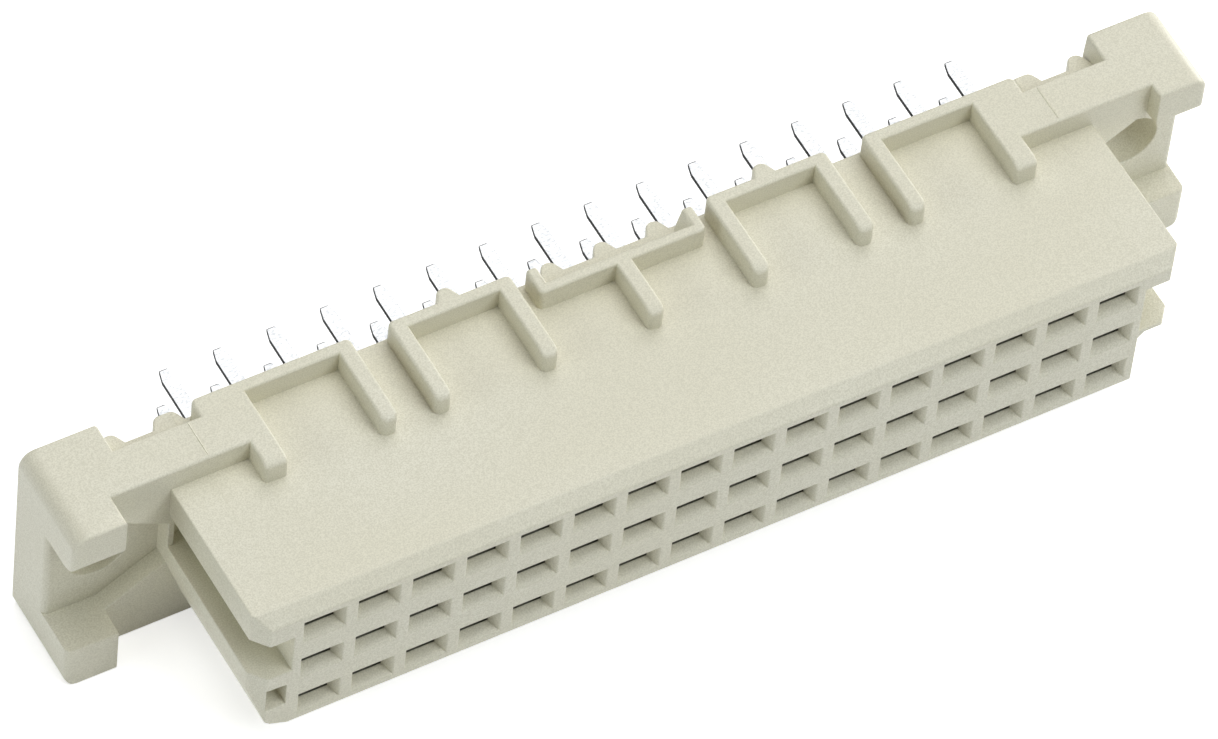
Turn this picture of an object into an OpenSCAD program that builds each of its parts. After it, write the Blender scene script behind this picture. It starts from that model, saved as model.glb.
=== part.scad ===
// Female board connector with three rows of spring contacts, straight solder tails and two
// fixing flanges. Millimetres. The mating face looks along -Y, the tails point along +Y, and the
// long underside rests on the floor.

/* [Contact field] */
// Number of columns along the connector
columns = 16; // [14:1:32]
// Distance between neighbouring columns and neighbouring rows
pitch = 2.54; // [2.5:0.01:2.6]

/* [Lead-in windows] */
// Width of a window at the mating face
window_w = 2.0; // [1.8:0.05:2.1]
// Height of a window at the mating face
window_h = 1.34; // [1.1:0.02:1.5]
// Depth of the four-sided funnel
funnel_d = 0.55; // [0.3:0.05:0.8]
// Width of the throat behind the funnel
throat_w = 1.44; // [1.2:0.02:1.6]
// Height of the throat
throat_h = 0.72; // [0.6:0.02:0.9]
// Length of the throat
throat_l = 0.05; // [0.05:0.05:0.8]

/* [Contact chambers] */
// Width of a chamber
chamber_w = 1.7; // [1.5:0.05:1.8]
// Height of a chamber
chamber_h = 1.6; // [1.5:0.05:1.9]
// Width of the wider pocket at the back, where the contact wings seat
pocket_w = 2.0; // [1.9:0.02:2.1]
// Depth of that pocket from the back face
pocket_d = 1.2; // [0.9:0.05:1.6]

/* [Window block] */
// Height of the block
block_h = 8.3; // [7.9:0.05:9]
// Depth from the mating face to the back face
block_d = 10.87; // [10.5:0.05:12]
// Wall outside the last window at each end
end_wall = 0.4; // [0.3:0.05:1]
// Chamfer along the top and bottom front edges
front_chamfer = 0.6; // [0.2:0.05:0.8]
// Radius along the bottom side edges
bottom_r = 0.35; // [0.1:0.05:0.6]

/* [Top plate ends] */
// How far the top plate stands out past the block at each end
plate_out = 1.75; // [1.2:0.05:2.2]
// Thickness of the top plate at the rail end
rail_plate_t = 1.75; // [1.2:0.05:2.2]
// Thickness of the top plate at the ledge end
ledge_plate_t = 1.45; // [1:0.05:2.2]
// Corner chamfer of plate, rail and ledge, measured along the connector
corner_x = 0.62; // [0.3:0.02:0.9]
// Corner chamfer of plate, rail and ledge, measured into the depth
corner_y = 0.75; // [0.4:0.05:1]

/* [Keying rail] */
// Clear height of the slot above the rail
rail_slot_h = 2.3; // [1.8:0.05:2.6]
// Height of the upright outer face of the rail
rail_face_h = 1.1; // [0.6:0.05:1.5]
// Height over which the rail draws in below that face
rail_taper_h = 1.9; // [1:0.05:2]
// How far the rail draws in over that height
rail_taper_in = 0.6; // [0.2:0.05:0.9]
// Size of the bevel at the foot of the rail
rail_bevel = 0.25; // [0.1:0.05:0.4]
// Depth of the small pocket in the front of the rail
rail_pocket_d = 1.2; // [0.6:0.1:2]
// Width of the small pocket
rail_pocket_w = 0.95; // [0.6:0.05:1.1]
// Height of the small pocket
rail_pocket_h = 1.5; // [1:0.05:1.7]
// Height of the pocket's top above the foot of the outer face
rail_pocket_up = 0.4; // [0.2:0.05:0.8]
// Wall left between the end of the slot and the flange recess
slot_wall = 0.33; // [0.2:0.01:0.5]
// How far the slot runs on into the flange behind that wall
slot_run = 0.6; // [0.3:0.05:1.2]

/* [Keying ledge] */
// Clear height of the slot above the ledge
ledge_slot_h = 2.9; // [1.8:0.05:3.4]
// Thickness of the ledge
ledge_t = 0.2; // [0.15:0.05:0.5]
// Size of the slope that carries the ledge from below
ledge_fillet = 0.3; // [0.1:0.05:0.6]

/* [Ribs] */
// Rise of ribs, walls, bars and ears above the top plate
rise = 1.19; // [0.8:0.05:1.6]
// Width of a thin rib
rib_w = 0.76; // [0.5:0.02:1]
// Distance from the mating face to the rib tips
rib_front = 6.4; // [5.5:0.1:7.4]
// Corner radius of the rib tips
rib_tip_r = 0.28; // [0.1:0.02:0.3]
// Thickness of the walls along the back edge
wall_t = 0.57; // [0.4:0.01:0.8]
// Width of the stout rib beside each bar
stout_rib_w = 1.05; // [0.8:0.05:1.3]
// Distance from the block side in to the far face of the stout rib
stout_rib_in = 2.95; // [2.6:0.05:3.4]

/* [Centre bracket] */
// Length of the bracket wall
bracket_l = 8.0; // [7:0.1:9]
// Thickness of the bracket wall and its two posts
bracket_t = 0.5; // [0.4:0.05:0.7]
// Distance from the back face to the front of the bracket wall
bracket_in = 1.52; // [1.2:0.02:2]
// Extra thickness of a post at its foot, on its inner side
post_draft = 0.3; // [0:0.05:0.4]
// Distance from the back face to the back of the posts
post_in = 0.12; // [0.02:0.02:0.4]

/* [Flanges] */
// Distance from the block side to the fixing hole
hole_out = 4.55; // [4.2:0.05:5.2]
// Distance from the fixing hole to the outer end of the flange
flange_out = 2.45; // [2:0.05:3]
// Diameter of the fixing hole
hole_d = 2.8; // [2.2:0.1:3]
// Height of the fixing hole above the middle row
hole_up = 0.4; // [0:0.05:0.7]
// Distance from the back face forward to the front of the flange
flange_t = 3.02; // [2.6:0.05:3.4]
// Depth of the recess round the fixing hole
recess_d = 0.85; // [0.4:0.05:1.2]
// How far the flange reaches below the block
flange_drop = 0.95; // [0.6:0.05:1.4]
// Reach of the upper ear ahead of the flange, at the rail end
rail_upper_reach = 1.5; // [0.8:0.05:1.8]
// Reach of the lower ear ahead of the flange, at the rail end
rail_lower_reach = 1.35; // [0.8:0.05:1.8]
// Reach of the upper ear ahead of the flange, at the ledge end
ledge_upper_reach = 0.75; // [0.4:0.05:1.8]
// Reach of the lower ear ahead of the flange, at the ledge end
ledge_lower_reach = 0.55; // [0.3:0.05:1.8]
// Thickness of the upper ear at the rail end
rail_ear_t = 2.54; // [2:0.02:2.9]
// Thickness of the upper ear at the ledge end
ledge_ear_t = 1.94; // [1.7:0.02:2.2]
// Radius along the lower front edge of the upper ear, at the rail end
rail_nose_r = 0.9; // [0.3:0.05:1.2]
// Radius along the lower front edge of the upper ear, at the ledge end
ledge_nose_r = 0.15; // [0.1:0.05:0.5]
// Height of the lower ear
lower_ear_h = 2.45; // [1.8:0.05:2.8]
// Slope of the recess edges, in degrees
recess_slope = 31; // [20:1:40]
// Distance from the top of the flange down to the recess
recess_down = 1.94; // [1.6:0.02:2.2]
// Depth of the bar that joins the upper ear to the body
bar_d = 2.1; // [1.6:0.05:2.6]
// Distance from the block side in to the foot of the bar
bar_foot_in = 0.65; // [0.3:0.05:1]
// Distance from the fixing hole in to the side of the end board seat
seat_in = 1.15; // [0.8:0.05:1.5]
// Radius of the upright outer edges at the back
back_r = 0.1; // [0.05:0.05:0.6]
// Radius of the upright outer edges at the front
ear_r = 0.3; // [0.1:0.05:0.6]
// Radius along the top outer edge
top_r = 0.8; // [0.4:0.05:1.1]
// Radius along the bottom outer edge
foot_r = 0.6; // [0.3:0.05:1]
// Radius along the top edge at the back
back_top_r = 0.2; // [0.1:0.05:0.4]

/* [Board side] */
// Distance from the back face to the board seat
standoff = 0.6; // [0.4:0.05:0.8]
// Width of a seat pad between the columns
pad_w = 1.1; // [0.8:0.05:1.4]
// Width of a seat pad beside the window block
side_pad_w = 1.5; // [1:0.05:1.7]
// Distance from the block side out to the middle of that pad
side_pad_out = 0.25; // [0:0.05:0.5]
// Chamfer at the sides of a seat pad
pad_chamfer = 0.3; // [0.1:0.05:0.35]
// Distance from a chamber to the edge of the seat pads
pad_off = 0.06; // [0.02:0.02:0.2]

/* [Stamped contacts] */
// Thickness of the strip
strip_t = 0.25; // [0.2:0.01:0.36]
// Width of the spring arms
arm_w = 1.0; // [0.7:0.05:1.2]
// Gap between the arms where they grip a pin
grip_gap = 0.36; // [0.2:0.02:0.5]
// Distance from the chamber mouth to the arm tips
arm_start = 0.35; // [0.2:0.05:0.6]
// Length of the flared tips ahead of the grip
flare_l = 0.9; // [0.6:0.05:1.3]
// Length of the bowed stretch behind the grip
bow_l = 3.6; // [2.5:0.1:4.5]
// Clearance between the flared tips and the chamber
tip_gap = 0.15; // [0.05:0.05:0.2]
// Clearance between the bow and the chamber
bow_gap = 0.05; // [0.02:0.01:0.15]
// Reach of the wings past the retention plate, each side
wing_out = 0.1; // [0.05:0.01:0.14]
// Length of the wings
wing_l = 0.5; // [0.3:0.05:0.8]
// Length of the retention plate ahead of the wings
plate_l = 0.7; // [0.5:0.05:1]
// Clearance between contact and housing, each side
fit_gap = 0.03; // [0.01:0.01:0.05]
// Width of the solder tail
tail_w = 0.67; // [0.5:0.01:0.8]
// Width of the tail at its tip
tail_tip_w = 0.36; // [0.2:0.02:0.45]
// Length of the tapered tail tip
tail_tip_l = 0.6; // [0.3:0.05:1]
// Length of the tail past the back face
tail_out = 3.63; // [2.5:0.01:5]

/* [Hidden] */
ROWS = ["a", "b", "c"];
// Thin ribs stand this many columns from the middle; a wall joins the ribs of each pair
RIB_COLUMNS = [2, 4, 5];
// Seat pads stand this many columns from the middle
PAD_COLUMNS = [0, 1, 3];
$fn = 48;
eps = 0.01;
over = 1;

function row_z(r) = (1 - r) * pitch;
function column_x(c) = (c - (columns + 1) / 2) * pitch;
function contact_name(r, c) = str("contact_", ROWS[r], c < 10 ? "0" : "", c);

// Along the connector, measured from the middle
block_x = column_x(columns) + window_w / 2 + end_wall;
plate_x = block_x + plate_out;
hole_x = block_x + hole_out;
flange_x = hole_x + flange_out;
stout_in = block_x - stout_rib_in;
stout_out = stout_in + stout_rib_w;
bar_foot_x = block_x - bar_foot_in;
seat_x = hole_x - seat_in;

// Depth, measured from the mating face
throat_back = funnel_d + throat_l;
pocket_front = block_d - pocket_d;
flange_front = block_d - flange_t;
recess_floor = flange_front + recess_d;
bar_back = flange_front + bar_d;
seat_y = block_d + standoff;
tail_y = block_d + tail_out;

// Height, measured from the middle of row b
top_z = block_h / 2;
rib_z = top_z + rise;
foot_z = -top_z - flange_drop;
rail_slot_top = top_z - rail_plate_t;
rail_z = rail_slot_top - rail_slot_h;
ledge_slot_top = top_z - ledge_plate_t;
ledge_z = ledge_slot_top - ledge_slot_h;
recess_z = rib_z - recess_down;
lower_ear_z = foot_z + lower_ear_h;

// The middle of the whole length of the tails and body is the origin, the feet stand at zero
module place() {
    translate([0, -tail_y / 2, -foot_z]) children();
}

// Prism with its outline in the depth and height plane, centred across the length
module along_x(length) {
    rotate([90, 0, 90]) translate([0, 0, -length / 2]) linear_extrude(length) children();
}

// Prism with its outline in the length and height plane, between two depths
module along_y(y0, y1) {
    translate([0, y1, 0]) rotate([90, 0, 0]) linear_extrude(y1 - y0) children();
}

// Prism with its outline in the length and depth plane, between two heights
module along_z(z0, z1) {
    translate([0, 0, z0]) linear_extrude(z1 - z0) children();
}

// Waste outside a round edge: the corner of the outline lies at the origin, the part below and left
module corner_waste(r) {
    difference() {
        translate([-r, -r]) square(r + over);
        translate([-r, -r]) circle(r);
    }
}

// Box between two opposite corners
module block(low, high) {
    translate(low) cube(high - low);
}

// Depth outline shared by the block and the top plate, with both front edges chamfered
module front_outline() {
    polygon([
        [0, -top_z + front_chamfer],
        [front_chamfer, -top_z],
        [block_d, -top_z],
        [block_d, top_z],
        [front_chamfer, top_z],
        [0, top_z - front_chamfer]
    ]);
}

// Plan of plate, rail and ledge: they all share these chamfered front corners
module plate_plan(back) {
    polygon([
        [-plate_x + corner_x, 0],
        [plate_x - corner_x, 0],
        [plate_x, corner_y],
        [plate_x, back],
        [-plate_x, back],
        [-plate_x, corner_y]
    ]);
}

// The long block that holds the contacts
module window_block() {
    difference() {
        along_x(2 * block_x) front_outline();
        for (side = [0, 1]) mirror([side, 0, 0]) along_y(-over, block_d + over)
            translate([block_x, -top_z]) mirror([0, 1]) corner_waste(bottom_r);
    }
}

// Ends of the top plate, thinner over the rail than over the ledge
module top_plate() {
    intersection() {
        along_x(2 * plate_x) front_outline();
        along_z(-top_z, top_z) plate_plan(flange_front + eps);
        union() {
            block([-plate_x, 0, rail_slot_top], [0, block_d, top_z]);
            block([0, 0, ledge_slot_top], [plate_x, block_d, top_z]);
        }
    }
}

// Rail at the left end, drawn in towards its foot and merged with the block's bottom edge
module keying_rail() {
    face_foot = rail_z - rail_face_h;
    taper_foot = face_foot - rail_taper_h;
    foot_x = plate_x - rail_taper_in;
    pocket_top = face_foot + rail_pocket_up;
    difference() {
        intersection() {
            along_z(-top_z, rail_z) plate_plan(flange_front + eps);
            along_y(0, flange_front + eps) polygon([
                [-block_x + eps, rail_z],
                [-plate_x, rail_z],
                [-plate_x, face_foot],
                [-foot_x, taper_foot],
                [-foot_x + rail_bevel, taper_foot - rail_bevel],
                [-block_x + eps, -top_z + front_chamfer]
            ]);
        }
        block(
            [-foot_x, -over, pocket_top - rail_pocket_h],
            [-foot_x + rail_pocket_w, rail_pocket_d, pocket_top]
        );
    }
}

// Where the slot above the rail runs on into the flange
module slot_end() {
    block(
        [-plate_x + slot_wall, flange_front - eps, rail_z],
        [-block_x, flange_front + slot_run, rail_slot_top]
    );
}

// Thin ledge at the right end, carried by a small slope below it
module keying_ledge() {
    intersection() {
        along_z(-top_z, ledge_z) plate_plan(flange_front + eps);
        along_y(0, flange_front + eps) polygon([
            [block_x - eps, ledge_z],
            [plate_x, ledge_z],
            [plate_x, ledge_z - ledge_t],
            [block_x + ledge_fillet, ledge_z - ledge_t],
            [block_x - eps, ledge_z - ledge_t - ledge_fillet]
        ]);
    }
}

// Thin rib with a rounded tip
module thin_rib(x, back) {
    along_z(top_z - eps, rib_z) translate([x, 0]) difference() {
        translate([-rib_w / 2, rib_front]) square([rib_w, back - rib_front]);
        for (side = [0, 1]) mirror([side, 0])
            translate([rib_w / 2, rib_front]) mirror([0, 1]) corner_waste(rib_tip_r);
    }
}

// Raised wall along the back edge between two places along the connector
module back_wall(x0, x1) {
    block([x0, block_d - wall_t, top_z - eps], [x1, block_d, rib_z]);
}

// Bracket at the middle, set in from the back face and carried by the middle rib
module centre_bracket() {
    front = block_d - bracket_in;
    half = bracket_l / 2;
    thin_rib(0, front + eps);
    block([-half, front, top_z - eps], [half, front + bracket_t, rib_z]);
    for (side = [0, 1]) mirror([side, 0, 0]) along_y(front, block_d - post_in) polygon([
        [half - bracket_t - post_draft, top_z - eps],
        [half, top_z - eps],
        [half, rib_z],
        [half - bracket_t, rib_z]
    ]);
}

// All ribs and walls of one half, from the middle out to the stout rib beside the bar
module half_ribs() {
    inner = RIB_COLUMNS[0] * pitch;
    middle = RIB_COLUMNS[1] * pitch;
    outer = RIB_COLUMNS[2] * pitch;
    for (x = [inner, middle, outer]) thin_rib(x, block_d);
    back_wall(inner, middle);
    back_wall(outer, stout_in + eps);
    block([stout_in, rib_front, top_z - eps], [stout_out, block_d, rib_z]);
    block([stout_out - eps, flange_front, top_z - eps], [bar_foot_x, block_d, rib_z]);
}

// Seat pad on the back face, with chamfered sides
module seat_pad(x, width, z0, z1) {
    half = width / 2;
    along_z(z0, z1) translate([x, 0]) polygon([
        [-half, block_d - eps],
        [half, block_d - eps],
        [half - pad_chamfer, seat_y],
        [-half + pad_chamfer, seat_y]
    ]);
}

// Pads that carry the connector off the board, between the columns and on the flanges
module seat_pads() {
    edge = pitch + chamber_h / 2 + pad_off;
    for (side = [-1, 1], column = PAD_COLUMNS) {
        x = side * column * pitch;
        seat_pad(x, pad_w, edge, column > RIB_COLUMNS[0] ? rib_z : top_z);
        seat_pad(x, pad_w, -top_z, -edge);
    }
    for (side = [-1, 1]) {
        seat_pad(side * (block_x + side_pad_out), side_pad_w, -top_z, top_z);
        seat_pad(side * (seat_x - pad_w / 2), pad_w, -top_z, top_z);
    }
}

// Recess round the fixing hole, seen from the front: open to the outer end of the flange
module recess_outline() {
    run = hole_x - plate_x;
    climb = run * tan(recess_slope);
    polygon([
        [plate_x, lower_ear_z + climb],
        [hole_x, lower_ear_z],
        [flange_x + over, lower_ear_z],
        [flange_x + over, recess_z],
        [hole_x, recess_z],
        [plate_x, recess_z - climb]
    ]);
}

// Outer end of the flange in plan, from its front to the board seat
module end_plan(front) {
    difference() {
        translate([hole_x, front]) square([flange_x - hole_x, seat_y - front]);
        translate([flange_x, seat_y]) corner_waste(back_r);
        translate([flange_x, front]) mirror([0, 1]) corner_waste(ear_r);
    }
}

// One flange, built for the right end and mirrored to the left, with its own ears
module flange(upper_reach, lower_reach, ear_t, nose_r) {
    ear_z = rib_z - ear_t;
    ear_front = flange_front - upper_reach;
    difference() {
        union() {
            // Plate with the recess in its front
            difference() {
                block([stout_out, flange_front, foot_z], [hole_x, block_d, top_z]);
                along_y(flange_front - over, recess_floor) recess_outline();
            }
            block([seat_x, recess_floor, foot_z], [hole_x + eps, seat_y, rib_z]);
            along_z(foot_z, rib_z) end_plan(recess_floor);
            // Ears ahead of the recess
            along_z(ear_z, rib_z) end_plan(ear_front);
            along_z(foot_z, lower_ear_z) end_plan(flange_front - lower_reach);
            // Bar from the ears to the body
            block([bar_foot_x - eps, flange_front, top_z - eps], [hole_x + eps, bar_back, rib_z]);
        }
        // Fixing hole
        along_y(flange_front - over, seat_y + over) translate([hole_x, hole_up]) circle(d = hole_d);
        // Round edges along the outer corners, the ear's nose and the top edge at the back
        along_y(0, seat_y + over) {
            translate([flange_x, rib_z]) corner_waste(top_r);
            translate([flange_x, foot_z]) mirror([0, 1]) corner_waste(foot_r);
        }
        translate([hole_x, 0, 0]) along_x(2 * flange_out + over) {
            translate([ear_front, ear_z]) rotate(180) corner_waste(nose_r);
            translate([seat_y, rib_z]) corner_waste(back_top_r);
        }
    }
}

// Cavities of the contact field: where a row prism crosses a column prism lies one cavity
module cavities() {
    intersection() {
        for (r = [0:2]) translate([0, 0, row_z(r)]) along_x(2 * block_x) polygon(concat(
            [for (p = cavity_height()) p],
            [for (i = [len(cavity_height()) - 1:-1:0]) [cavity_height()[i][0], -cavity_height()[i][1]]]
        ));
        for (c = [1:columns]) along_z(-top_z, top_z) translate([column_x(c), 0]) polygon(concat(
            [for (p = cavity_width()) [p[1], p[0]]],
            [for (i = [len(cavity_width()) - 1:-1:0]) [-cavity_width()[i][1], cavity_width()[i][0]]]
        ));
    }
}

// Half height of a cavity at each depth, from the mating face to the back
function cavity_height() = [
    [-over, window_h / 2],
    [0, window_h / 2],
    [funnel_d, throat_h / 2],
    [throat_back, throat_h / 2],
    [throat_back, chamber_h / 2],
    [seat_y + over, chamber_h / 2]
];

// Half width of a cavity at each depth, with the wing pocket at the back
function cavity_width() = [
    [-over, window_w / 2],
    [0, window_w / 2],
    [funnel_d, throat_w / 2],
    [throat_back, throat_w / 2],
    [throat_back, chamber_w / 2],
    [pocket_front, chamber_w / 2],
    [pocket_front, pocket_w / 2],
    [seat_y + over, pocket_w / 2]
];

module housing() {
    color([0.86, 0.85, 0.77]) place() difference() {
        union() {
            window_block();
            top_plate();
            keying_rail();
            keying_ledge();
            centre_bracket();
            for (side = [0, 1]) mirror([side, 0, 0]) half_ribs();
            flange(ledge_upper_reach, ledge_lower_reach, ledge_ear_t, ledge_nose_r);
            mirror([1, 0, 0])
                flange(rail_upper_reach, rail_lower_reach, rail_ear_t, rail_nose_r);
            seat_pads();
        }
        cavities();
        slot_end();
    }
}

// One spring arm in depth and height: flared tip, grip, bow and the foot on the retention plate
module spring_arm() {
    tip = throat_back + arm_start;
    grip = tip + flare_l;
    bow = grip + bow_l;
    foot = pocket_front - plate_l;
    grip_z = grip_gap / 2;
    tip_z = chamber_h / 2 - strip_t - tip_gap;
    bow_z = chamber_h / 2 - strip_t - bow_gap;
    polygon([
        [tip, tip_z],
        [grip, grip_z],
        [bow, bow_z],
        [foot - strip_t, bow_z],
        [foot - strip_t, 0],
        [foot, 0],
        [foot, bow_z + strip_t],
        [bow, bow_z + strip_t],
        [grip, grip_z + strip_t],
        [tip, tip_z + strip_t]
    ]);
}

// Flat part of the contact in plan: retention plate, wings and solder tail
module contact_plan() {
    plate = chamber_w / 2 - fit_gap;
    foot = pocket_front - plate_l;
    wing = plate + wing_out;
    for (side = [0, 1]) mirror([side, 0]) polygon([
        [0, foot - strip_t],
        [plate, foot - strip_t],
        [plate, pocket_front],
        [wing, pocket_front],
        [wing, pocket_front + wing_l],
        [tail_w / 2, pocket_front + wing_l],
        [tail_w / 2, tail_y - tail_tip_l],
        [tail_tip_w / 2, tail_y],
        [0, tail_y]
    ]);
}

// Stamped contact in one piece
module contact(r, c) {
    color([0.78, 0.78, 0.8]) place() translate([column_x(c), 0, row_z(r)]) {
        for (side = [0, 1]) mirror([0, 0, side]) along_x(arm_w) spring_arm();
        along_z(-strip_t / 2, strip_t / 2) contact_plan();
    }
}

housing();
for (r = [0:2], c = [1:columns]) contact(r, c);
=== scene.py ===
"""Looks of the rectangular pin connector: its rounded pieces, their finishes, a table and lamps.

The mating face looks along -Y, the solder tails point along +Y, and the connector stands on the
table at z = 0. Places and sizes are in millimetres, and MM turns them into Blender's metres, but
those of the table and the lamps are in metres.
"""

import math

import bmesh
import bpy
from mathutils import Euler, Matrix, Vector


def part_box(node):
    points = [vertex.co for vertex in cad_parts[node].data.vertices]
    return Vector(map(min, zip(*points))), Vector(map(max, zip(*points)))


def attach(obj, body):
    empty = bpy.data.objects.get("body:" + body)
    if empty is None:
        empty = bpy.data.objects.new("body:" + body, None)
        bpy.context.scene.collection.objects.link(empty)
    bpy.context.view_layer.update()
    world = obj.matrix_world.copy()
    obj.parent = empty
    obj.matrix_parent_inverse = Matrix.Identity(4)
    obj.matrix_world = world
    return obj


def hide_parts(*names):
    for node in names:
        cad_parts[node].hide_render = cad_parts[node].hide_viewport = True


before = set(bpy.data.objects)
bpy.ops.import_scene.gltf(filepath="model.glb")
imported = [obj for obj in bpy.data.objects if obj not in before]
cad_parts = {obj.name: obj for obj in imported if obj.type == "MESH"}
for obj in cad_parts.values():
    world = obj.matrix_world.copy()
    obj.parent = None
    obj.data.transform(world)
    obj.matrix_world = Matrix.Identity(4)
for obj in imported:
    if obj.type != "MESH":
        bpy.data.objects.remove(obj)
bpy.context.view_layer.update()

MM = 0.001

# Places from the front of the connector to its back
MATING_Y = -7.25  # face with the windows
THROAT_Y = (MATING_Y + 0.5, MATING_Y + 0.7)  # before and behind the throats
PAINTED_SHADE_FRONT_Y = (MATING_Y + 0.57, MATING_Y + 0.65)  # where the painted shade of the chambers begins
TIP_Y = -0.85  # front ends of the ribs
BRACKET_Y = 2.1  # front of the centre bracket
PAINTED_SHADE_BACK_Y = (3.0, 3.3)  # where the painted shade of the chambers ends
BACK_Y = 3.62  # back of the block
SEAT_Y = 4.22  # lugs and pads that rest on the board
TAIL_Y = 7.25  # ends of the solder tails
TAIL_PAINTED_SHADE_Y = (TAIL_Y - 0.09, TAIL_Y - 0.06)  # where the ends of the tails turn black: cut metal, darkened further by painted shade

# Places from the middle of the connector to its ends
BLOCK_X = 20.2  # ends of the block
PAINTED_SHADE_X = BLOCK_X - 0.1  # beyond the outermost chambers, where the painted shade stops
WITNESS_X = 20.42  # joint lines of the mould
LUG_X = 23.8  # outside the lugs

# Places upwards
LUG_Z = 3  # below the lugs
ROW_B_Z = 5.1  # middle row of windows
PLATE_Z = 9.25  # top of the plate
OPENINGS_Z = PLATE_Z - 0.35  # above the openings of the back
RAISED_Z = PLATE_Z + 0.2  # above the plate's edges, below those of what stands on it
RIB_FOOT_Z = PLATE_Z + 0.3  # from here up the tips of the ribs fall away
TOP_Z = 10.44  # top of the ribs, walls and bars

# Places around the small pocket beside the rail: its sides, its end and its top
POCKET_X = (-21.8, -20.5)
POCKET_MIDDLE_X = -21
POCKET_END_Y = (-6.1, -5.9)
POCKET_TOP_Z = (3.9, 4.6)

# Sizes
PITCH = 2.54
THROAT_H = 0.72
FIELD_H = 7.0  # the windows and chambers of all three rows
TAIL_COIN = 0.08
BROKEN_EDGE = 0.025

# Radii of the housing's edges, in the order in which they are rounded
ROUNDS = {
    "corner": 0.25,
    "lug": 0.2,
    "raised": 0.15,
    "plate": 0.08,
    "outside": 0.07,
    "mating": 0.06,
    "back": 0.03,
}

# How near counts as the same: for two points, a point on a cut, two places, and a face at a place
WELD = 0.0005
ON_CUT = 0.001
NEAR = 0.01
FACE_NEAR = 0.02
EDGE_SLACK = 0.05  # how far a round may have pushed the ends of an edge along

# Angles in degrees above which an edge gets a round, and above which it is shaded as sharp
CORNER_ANGLE = 28
SHARP_ANGLE = 38


# ---------------------------------------------------------------- shader maths


class Value:
    """A node output that Python's operators work on: each operator adds one Math node."""

    def __init__(self, finish, socket):
        self.finish = finish
        self.socket = socket

    def math(self, operation, first, second=0.0):
        return self.finish.node("ShaderNodeMath", {"operation": operation}, {0: first, 1: second})

    def __add__(self, other):
        return self.math("ADD", self, other)

    __radd__ = __add__

    def __sub__(self, other):
        return self.math("SUBTRACT", self, other)

    def __rsub__(self, other):
        return self.math("SUBTRACT", other, self)

    def __mul__(self, other):
        return self.math("MULTIPLY", self, other)

    __rmul__ = __mul__

    def __abs__(self):
        return self.math("ABSOLUTE", self)

    def below(self, limit):
        return self.math("LESS_THAN", self, limit)

    def largest(self, other):
        return self.math("MAXIMUM", self, other)


class Finish:
    """A material and its nodes."""

    def __init__(self, name):
        self.material = bpy.data.materials.new(name)
        self.material.use_nodes = True
        self.tree = self.material.node_tree
        self.tree.nodes.clear()

    def node(self, kind, settings=None, inputs=None, output=0):
        """Adds a node, sets its settings, then its inputs, and gives one output as a Value."""
        made = self.tree.nodes.new(kind)
        for name, value in (settings or {}).items():
            setattr(made, name, value)
        for key, value in (inputs or {}).items():
            if isinstance(value, Value):
                self.tree.links.new(value.socket, made.inputs[key])
            else:
                made.inputs[key].default_value = value
        return Value(self, made.outputs[output])

    def place(self):
        """Object coordinates."""
        return self.node("ShaderNodeTexCoord", output="Object")

    def axes(self):
        """The x, y and z of the object coordinates."""
        split = self.node("ShaderNodeSeparateXYZ", {}, {0: self.place()})
        return [Value(self, socket) for socket in split.socket.node.outputs]

    def noise(self, size, detail=2.0, stretch=(1.0, 1.0, 1.0)):
        """Noise whose lumps are about the given size across, from 0 to 1."""
        scaled = self.node(
            "ShaderNodeVectorMath", {"operation": "MULTIPLY"}, {0: self.place(), 1: stretch}
        )
        return self.node(
            "ShaderNodeTexNoise", {}, {"Vector": scaled, "Scale": 1 / size, "Detail": detail}
        )

    def ramp(self, value, low, high, start=0.0, end=1.0):
        """Maps low..high to start..end, and holds the ends."""
        return self.node(
            "ShaderNodeMapRange", {"clamp": True}, {0: value, 1: low, 2: high, 3: start, 4: end}
        )

    def blend(self, factor, first, second):
        """Mixes two colours. A Mix node has them in inputs 6 and 7, and the result in output 2."""
        return self.node(
            "ShaderNodeMix", {"data_type": "RGBA"}, {0: factor, 6: first, 7: second}, output=2
        )

    def bump(self, height, depth):
        """Normal of a surface whose height from 0 to 1 spans the given depth."""
        return self.node(
            "ShaderNodeBump", {}, {"Height": height, "Distance": depth, "Strength": 1.0}
        )

    def surface(self, shader):
        """Links the shader to the material's surface, and gives the material."""
        end = self.tree.nodes.new("ShaderNodeOutputMaterial")
        self.tree.links.new(shader.socket, end.inputs["Surface"])
        return self.material


def srgb(red, green, blue):
    """Linear colour of an sRGB colour that is written from 0 to 255."""
    linear = []
    for part in (red / 255, green / 255, blue / 255):
        linear.append(part / 12.92 if part <= 0.04045 else ((part + 0.055) / 1.055) ** 2.4)
    return (*linear, 1.0)


# ---------------------------------------------------------------- finishes


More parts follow.
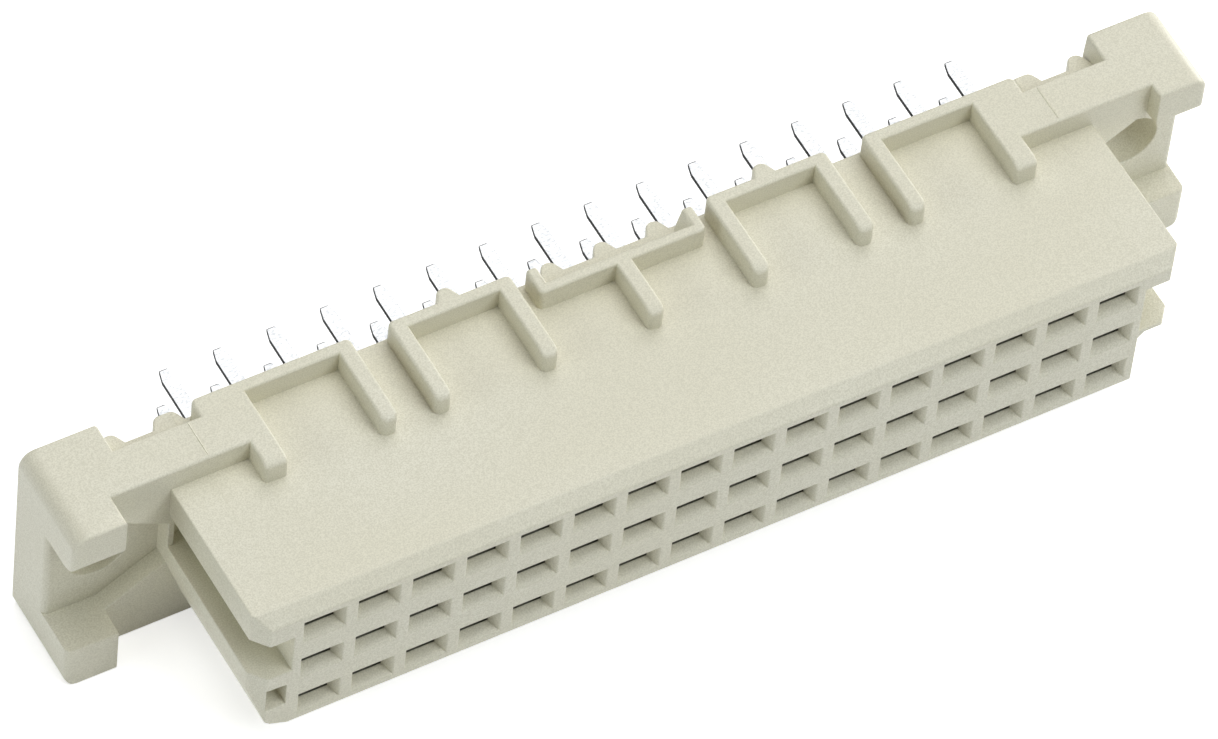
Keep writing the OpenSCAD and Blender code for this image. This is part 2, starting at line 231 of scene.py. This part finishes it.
def moulded_plastic():
    """Pale glass-filled plastic: satin, finely grained, faintly clouded, with painted shade in the
    chambers.
    """
    cream, pale_cream = srgb(233, 229, 208), srgb(237, 234, 216)
    grain_shade, speck_white = srgb(212, 208, 186), srgb(236, 233, 219)
    painted_chamber_shade = srgb(84, 80, 68)
    finish = Finish("moulded_plastic")
    across, depth, height = finish.axes()
    clouds = finish.noise(7 * MM, stretch=(0.5, 1.0, 1.0))
    grain = finish.noise(0.065 * MM)
    specks = finish.noise(0.28 * MM, detail=1.0)
    tone = finish.blend(finish.ramp(clouds, 0.35, 0.65), cream, pale_cream)
    tone = finish.blend(finish.ramp(grain, 0.35, 0.65, 0.0, 0.8), tone, grain_shade)
    tone = finish.blend(finish.ramp(specks, 0.66, 0.8, 0.0, 0.12), tone, speck_white)
    # painted shade: the plastic of the chambers behind the throats is darkened in colour, though
    # it is the same plastic
    painted_chamber_mask = finish.ramp(depth, *(y * MM for y in PAINTED_SHADE_FRONT_Y))
    painted_chamber_mask = painted_chamber_mask * finish.ramp(depth, *(y * MM for y in PAINTED_SHADE_BACK_Y), 1.0, 0.0)
    painted_chamber_mask = painted_chamber_mask * abs(across).below(PAINTED_SHADE_X * MM)
    painted_chamber_mask = painted_chamber_mask * abs(height - ROW_B_Z * MM).below(FIELD_H / 2 * MM)
    tone = finish.blend(painted_chamber_mask * 0.85, tone, painted_chamber_shade)
    rough = finish.ramp(clouds, 0.3, 0.7, 0.40, 0.46) + finish.ramp(grain, 0.3, 0.7, -0.04, 0.04)
    shell = finish.node(
        "ShaderNodeBsdfPrincipled",
        {},
        {
            "Base Color": tone,
            "Roughness": rough,
            "Normal": finish.bump(grain, 0.003 * MM),
            "IOR": 1.5,
        },
    )
    return finish.surface(shell)


def tinned_metal():
    """Tin plating on stamped strip: bright and frosty where rolled, duller and darker where cut.

    The cut metal is duller, and painted shade by the way a cut faces darkens it further: the cut
    that faces -X and the end of the tail are painted almost black, and the cut that faces +X grey.
    """
    tin, bright_tin, frosted_tin = srgb(222, 224, 226), srgb(236, 238, 238), srgb(184, 187, 190)
    cut_and_painted_shade_grey, cut_and_painted_shade_black = srgb(150, 152, 155), srgb(8, 8, 9)
    finish = Finish("tinned_metal")
    frost = finish.noise(0.08 * MM, detail=3.0, stretch=(0.5, 1.0, 1.0))
    clouds = finish.noise(0.9 * MM)
    rolled = finish.noise(0.25 * MM, stretch=(1.0, 0.08, 1.0))
    facing = finish.node("ShaderNodeNewGeometry", output="Normal")
    sideways = finish.node("ShaderNodeSeparateXYZ", {}, {0: facing}, output="X")
    along = finish.axes()[1]
    # painted shade: how dark a cut turns depends on the way it faces; its own duller metal is only
    # part of it
    tail_end_painted_shade = finish.ramp(along, *(y * MM for y in TAIL_PAINTED_SHADE_Y))
    black_cut_and_painted_shade_mask = finish.ramp(0 - sideways, 0.6, 0.85).largest(tail_end_painted_shade)
    grey_cut_and_painted_shade_mask = finish.ramp(sideways, 0.6, 0.85)
    tone = finish.blend(finish.ramp(clouds, 0.3, 0.7), tin, bright_tin)
    tone = finish.blend(finish.ramp(frost, 0.45, 0.65, 0.0, 0.7), tone, frosted_tin)
    # painted shade on top of the cut metal's own dullness: grey for cuts facing +X, near black for
    # -X and the tail ends
    tone = finish.blend(grey_cut_and_painted_shade_mask * 0.7, tone, cut_and_painted_shade_grey)
    tone = finish.blend(black_cut_and_painted_shade_mask * 0.98, tone, cut_and_painted_shade_black)
    rough = finish.ramp(frost, 0.3, 0.7, 0.24, 0.36) + (black_cut_and_painted_shade_mask + grey_cut_and_painted_shade_mask) * 0.3
    metal = finish.node(
        "ShaderNodeBsdfPrincipled",
        {},
        {
            "Base Color": tone,
            "Metallic": 1.0,
            "Roughness": rough,
            "Normal": finish.bump(frost + rolled * 0.5, 0.004 * MM),
        },
    )
    return finish.surface(metal)


def white_table():
    """White table that shows as pure white where nothing shades it, and keeps the shadow."""
    finish = Finish("white_table")
    path = finish.node("ShaderNodeLightPath")
    outputs = path.socket.node.outputs
    seen = Value(finish, outputs["Is Camera Ray"])
    seen = seen.largest(Value(finish, outputs["Is Glossy Ray"]))
    seen = seen.largest(Value(finish, outputs["Is Transmission Ray"]))
    matt = finish.node("ShaderNodeBsdfDiffuse", {}, {"Color": (0.86, 0.86, 0.86, 1.0)})
    glow = finish.node(
        "ShaderNodeEmission", {}, {"Color": (1.0, 1.0, 1.0, 1.0), "Strength": seen * 0.62}
    )
    return finish.surface(finish.node("ShaderNodeAddShader", {}, {0: matt, 1: glow}))


# ---------------------------------------------------------------- shaping


def is_corner(edge):
    """Whether an edge sticks out, between faces that turn far enough."""
    return edge.is_convex and edge.calc_face_angle() > math.radians(CORNER_ANGLE)


def in_pocket(place):
    """Whether a place is in the small pocket beside the rail."""
    return POCKET_X[0] < place.x < POCKET_X[1] and place.y < POCKET_END_Y[1]


def faces_at(shape, axis, place):
    """Flat faces at a place on an axis, 0 to 2 for X to Z, that look up that axis."""
    flat = [face for face in shape.faces if face.normal[axis] > 0.99]
    return [
        face for face in flat if abs(face.calc_center_median()[axis] / MM - place) < FACE_NEAR
    ]


def cut_faces(shape, faces, place, normal):
    """Cuts some faces of a bmesh along a plane, and gives the new edges."""
    parts = dict.fromkeys(faces)
    for face in faces:
        parts.update(dict.fromkeys([*face.edges, *face.verts]))
    cut = bmesh.ops.bisect_plane(
        shape, geom=list(parts), dist=ON_CUT * MM, plane_co=Vector(place) * MM, plane_no=normal
    )
    return [part for part in cut["geom_cut"] if isinstance(part, bmesh.types.BMEdge)]


def merged_copy(node, back_cuts=()):
    """Bmesh of a CAD node's mesh with its triangles merged back into flat faces.

    The back face is cut at the given heights, so that its openings stay apart from the corners.
    """
    shape = bmesh.new()
    shape.from_mesh(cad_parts[node].data)
    bmesh.ops.remove_doubles(shape, verts=shape.verts, dist=WELD * MM)
    for height in back_cuts:
        shape.normal_update()
        for edge in cut_faces(shape, faces_at(shape, 1, BACK_Y), (0, 0, height), (0, 0, 1)):
            edge.seam = True
    bmesh.ops.dissolve_limit(
        shape,
        angle_limit=math.radians(0.5),
        verts=shape.verts,
        edges=shape.edges,
        delimit={"SEAM"},
    )
    return shape


def round_edges(shape, edges, radius, segments=3):
    """Rounds some edges of a bmesh."""
    bmesh.ops.bevel(
        shape,
        geom=edges,
        offset=radius * MM,
        offset_type="OFFSET",
        segments=segments,
        profile=0.5,
        affect="EDGES",
        clamp_overlap=False,
        loop_slide=False,
        material=-1,
    )


def outer_corners(shape):
    """Edges of the housing that stick out, sorted into the places that ROUNDS gives a radius.

    It gives none to those inside the chambers and the small pocket, which stay sharp.
    """
    places = ("corner", "lug", "raised", "plate", "back", "mating", "inside", "pocket", "outside")
    found = {place: [] for place in places}
    for edge in filter(is_corner, shape.edges):
        ends = [vert.co / MM for vert in edge.verts]
        middle = (ends[0] + ends[1]) / 2
        along = ends[1] - ends[0]
        upright = abs(along.z) > 0.3 and abs(along.x) + abs(along.y) < NEAR
        in_field = abs(middle.x) < BLOCK_X and abs(middle.z - ROW_B_Z) < FIELD_H / 2
        at_corner = min(abs(middle.y - BACK_Y), abs(middle.y - BRACKET_Y)) < NEAR
        at_seat = abs(middle.y - SEAT_Y) < NEAR
        if upright and at_corner and abs(middle.x) < BLOCK_X and middle.z > PLATE_Z:
            found["corner"].append(edge)
        elif upright and at_seat and abs(middle.x) < LUG_X and middle.z > LUG_Z:
            found["lug"].append(edge)
        elif min(ends[0].z, ends[1].z) > PLATE_Z - EDGE_SLACK:
            found["raised" if middle.z > RAISED_Z else "plate"].append(edge)
        elif min(ends[0].y, ends[1].y) > BACK_Y - EDGE_SLACK:
            found["back"].append(edge)
        elif in_field and max(ends[0].y, ends[1].y) < MATING_Y + EDGE_SLACK:
            found["mating"].append(edge)
        elif in_field and MATING_Y < middle.y < BACK_Y:
            found["inside"].append(edge)
        elif in_pocket(middle) and middle.z < POCKET_TOP_Z[0]:
            found["pocket"].append(edge)
        else:
            found["outside"].append(edge)
    return found


def open_throats(shape, lower):
    """Lowers each throat's bottom, so that its dark mouth shows under the lip of the window."""
    bottoms = [ROW_B_Z + row * PITCH - THROAT_H / 2 for row in (-1, 0, 1)]
    for vert in shape.verts:
        x, y, z = vert.co / MM
        at_bottom = any(abs(z - bottom) < NEAR for bottom in bottoms)
        if at_bottom and abs(x) < BLOCK_X and THROAT_Y[0] < y < THROAT_Y[1]:
            vert.co.z -= lower * MM


def flare_pocket(shape, lower, outwards, upwards):
    """Brings the top of the small pocket down and slopes its walls towards its end."""
    for vert in shape.verts:
        place = vert.co / MM
        if in_pocket(place) and POCKET_TOP_Z[0] < place.z < POCKET_TOP_Z[1]:
            vert.co.z -= lower * MM
        if in_pocket(place) and place.y > POCKET_END_Y[0]:
            vert.co.x -= outwards * MM if place.x > POCKET_MIDDLE_X else 0
            vert.co.z += upwards * MM if place.z < POCKET_TOP_Z[0] else 0


def soften_rib_tips(shape, start, drop, strips=6):
    """Lets the tops of the ribs fall away in a soft curve over their front ends."""
    for step in range(strips - 1):
        shape.normal_update()
        high = [face for face in shape.faces if face.calc_center_median().z > RIB_FOOT_Z * MM]
        cut_faces(shape, high, (0, start + (TIP_Y - start) * step / strips, 0), (0, 1, 0))
    for vert in shape.verts:
        x, y, z = vert.co / MM
        if abs(x) < BLOCK_X and y < start and z > RIB_FOOT_Z:
            reach = (start - y) / (start - TIP_Y)
            rise = (z - RIB_FOOT_Z) / (TOP_Z - RIB_FOOT_Z)
            vert.co.z -= drop * reach * reach * rise * MM


def raised_line(shape, level, middle, width, height, crest=0.0):
    """Raises a fine ridge along Y on the faces at a level, with its crest beside its middle."""
    for offset in (-width / 2, width / 2, crest):
        shape.normal_update()
        edges = cut_faces(shape, faces_at(shape, 2, level), (middle + offset, 0, 0), (1, 0, 0))
    for vert in {vert for edge in edges for vert in edge.verts}:
        vert.co.z += height * MM


# ---------------------------------------------------------------- pieces


def new_object(name, data):
    """Object in the scene for a mesh, a lamp or a camera."""
    made = bpy.data.objects.new(name, data)
    bpy.context.scene.collection.objects.link(made)
    return made


def finished_piece(name, shape, material):
    """Mesh object from a bmesh, shaded so that flat faces stay flat and rounds are smooth."""
    mesh = bpy.data.meshes.new(name)
    shape.normal_update()
    shape.to_mesh(mesh)
    shape.free()
    mesh.attributes.remove(mesh.attributes["custom_normal"])
    mesh.shade_smooth()
    mesh.set_sharp_from_angle(angle=math.radians(SHARP_ANGLE))
    mesh.materials.append(material)
    piece = new_object(name, mesh)
    weighted = piece.modifiers.new("even_shading", "WEIGHTED_NORMAL")
    weighted.keep_sharp = True
    return piece


def housing_moulding(material):
    """The housing, with its rounds, its soft rib tips and the joint lines of its mould."""
    shape = merged_copy("housing", back_cuts=(PLATE_Z, OPENINGS_Z))
    open_throats(shape, lower=0.08)
    flare_pocket(shape, lower=0.15, outwards=0.12, upwards=0.35)
    for place, radius in ROUNDS.items():
        segments = 4 if place == "corner" else 3
        round_edges(shape, outer_corners(shape)[place], radius, segments)
    soften_rib_tips(shape, start=-0.25, drop=0.22)
    for side in (-1, 1):
        middle = side * WITNESS_X
        raised_line(shape, TOP_Z, middle, width=0.05, height=0.04, crest=side * 0.02)
        raised_line(shape, PLATE_Z, middle, width=0.06, height=0.02)
    piece = finished_piece("housing_moulding", shape, material)
    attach(piece, "root")
    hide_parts("housing")


def contact_strips(material):
    """The stamped contacts: broken edges all round and a coined point on each solder tail."""
    first = "contact_a01"
    strip = merged_copy(first)
    low, high = (Vector(corner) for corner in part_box(first))
    end_y = high.y - NEAR * MM
    point = [edge for edge in strip.edges if min(vert.co.y for vert in edge.verts) > end_y]
    point = [edge for edge in point if abs(edge.verts[0].co.z - edge.verts[1].co.z) < NEAR * MM]
    round_edges(strip, point, TAIL_COIN, segments=1)
    round_edges(strip, list(filter(is_corner, strip.edges)), BROKEN_EDGE, segments=2)
    for name in sorted(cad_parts):
        if name.startswith("contact_"):
            shape = strip.copy()
            step = Vector(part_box(name)[0]) - low
            bmesh.ops.translate(shape, vec=step, verts=shape.verts)
            piece = finished_piece(name.replace("contact", "strip"), shape, material)
            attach(piece, "root")
            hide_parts(name)
    strip.free()


# ---------------------------------------------------------------- stage


def table(material):
    """Wide white sheet, a hair below the feet of the connector."""
    sheet = bmesh.new()
    just_below = Matrix.Translation((0, 0, -0.02 * MM))
    bmesh.ops.create_grid(sheet, x_segments=1, y_segments=1, size=2.0, matrix=just_below)
    mesh = bpy.data.meshes.new("table")
    sheet.to_mesh(mesh)
    sheet.free()
    mesh.materials.append(material)
    new_object("table", mesh)


def camera():
    """Camera of the photograph: a long lens, high at the rail end, with a small roll."""
    data = bpy.data.cameras.new("camera")
    data.sensor_fit = "HORIZONTAL"
    data.sensor_width = 36.0
    data.lens = 307.862
    data.clip_start = 0.01
    data.clip_end = 20.0
    place = Vector((-151.9725, -218.5187, 355.9116)) * MM
    azimuth = math.radians(34.5410)
    elevation = math.radians(52.8121)
    roll = math.radians(6.9969)
    turn = Euler((math.pi / 2 - elevation, 0.0, -azimuth)).to_matrix()
    turn = turn @ Matrix.Rotation(roll, 3, "Z")
    eye = new_object("camera", data)
    eye.matrix_world = Matrix.Translation(place) @ turn.to_4x4()
    bpy.context.scene.camera = eye


def soft_box(name, place, size, watts, tint=(1.0, 1.0, 1.0)):
    """Area light at a place, turned to the connector."""
    data = bpy.data.lights.new(name, "AREA")
    data.color = tint
    data.shape = "RECTANGLE"
    data.size, data.size_y = size
    data.energy = watts
    lamp = new_object(name, data)
    turn = Vector(place).to_track_quat("Z", "Y").to_matrix()
    lamp.matrix_world = Matrix.Translation(place) @ turn.to_4x4()


def studio_air(strength):
    """Even white light from all around."""
    world = bpy.data.worlds.new("studio_air")
    bpy.context.scene.world = world
    world.use_nodes = True
    back = world.node_tree.nodes["Background"]
    back.inputs["Color"].default_value = (1.0, 1.0, 1.0, 1.0)
    back.inputs["Strength"].default_value = strength


camera()
table(white_table())
housing_moulding(moulded_plastic())
contact_strips(tinned_metal())
studio_air(strength=0.04)
soft_box("key_light", (0.30, 0.42, 0.68), (0.70, 0.70), watts=2.3)
soft_box("top_light", (0.0, 0.0, 0.85), (0.5, 0.5), watts=2.4, tint=(1.0, 0.99, 0.99))
soft_box("front_light", (0.33, -0.50, 0.58), (0.5, 0.5), watts=2.85, tint=(0.93, 0.97, 1.0))
soft_box("left_light", (-0.82, 0.0, 0.25), (0.5, 0.4), watts=1.9, tint=(0.93, 0.99, 1.0))
soft_box("right_light", (0.90, 0.20, 0.07), (0.6, 0.12), watts=3.9)

bpy.context.scene.view_settings.view_transform = "Standard"
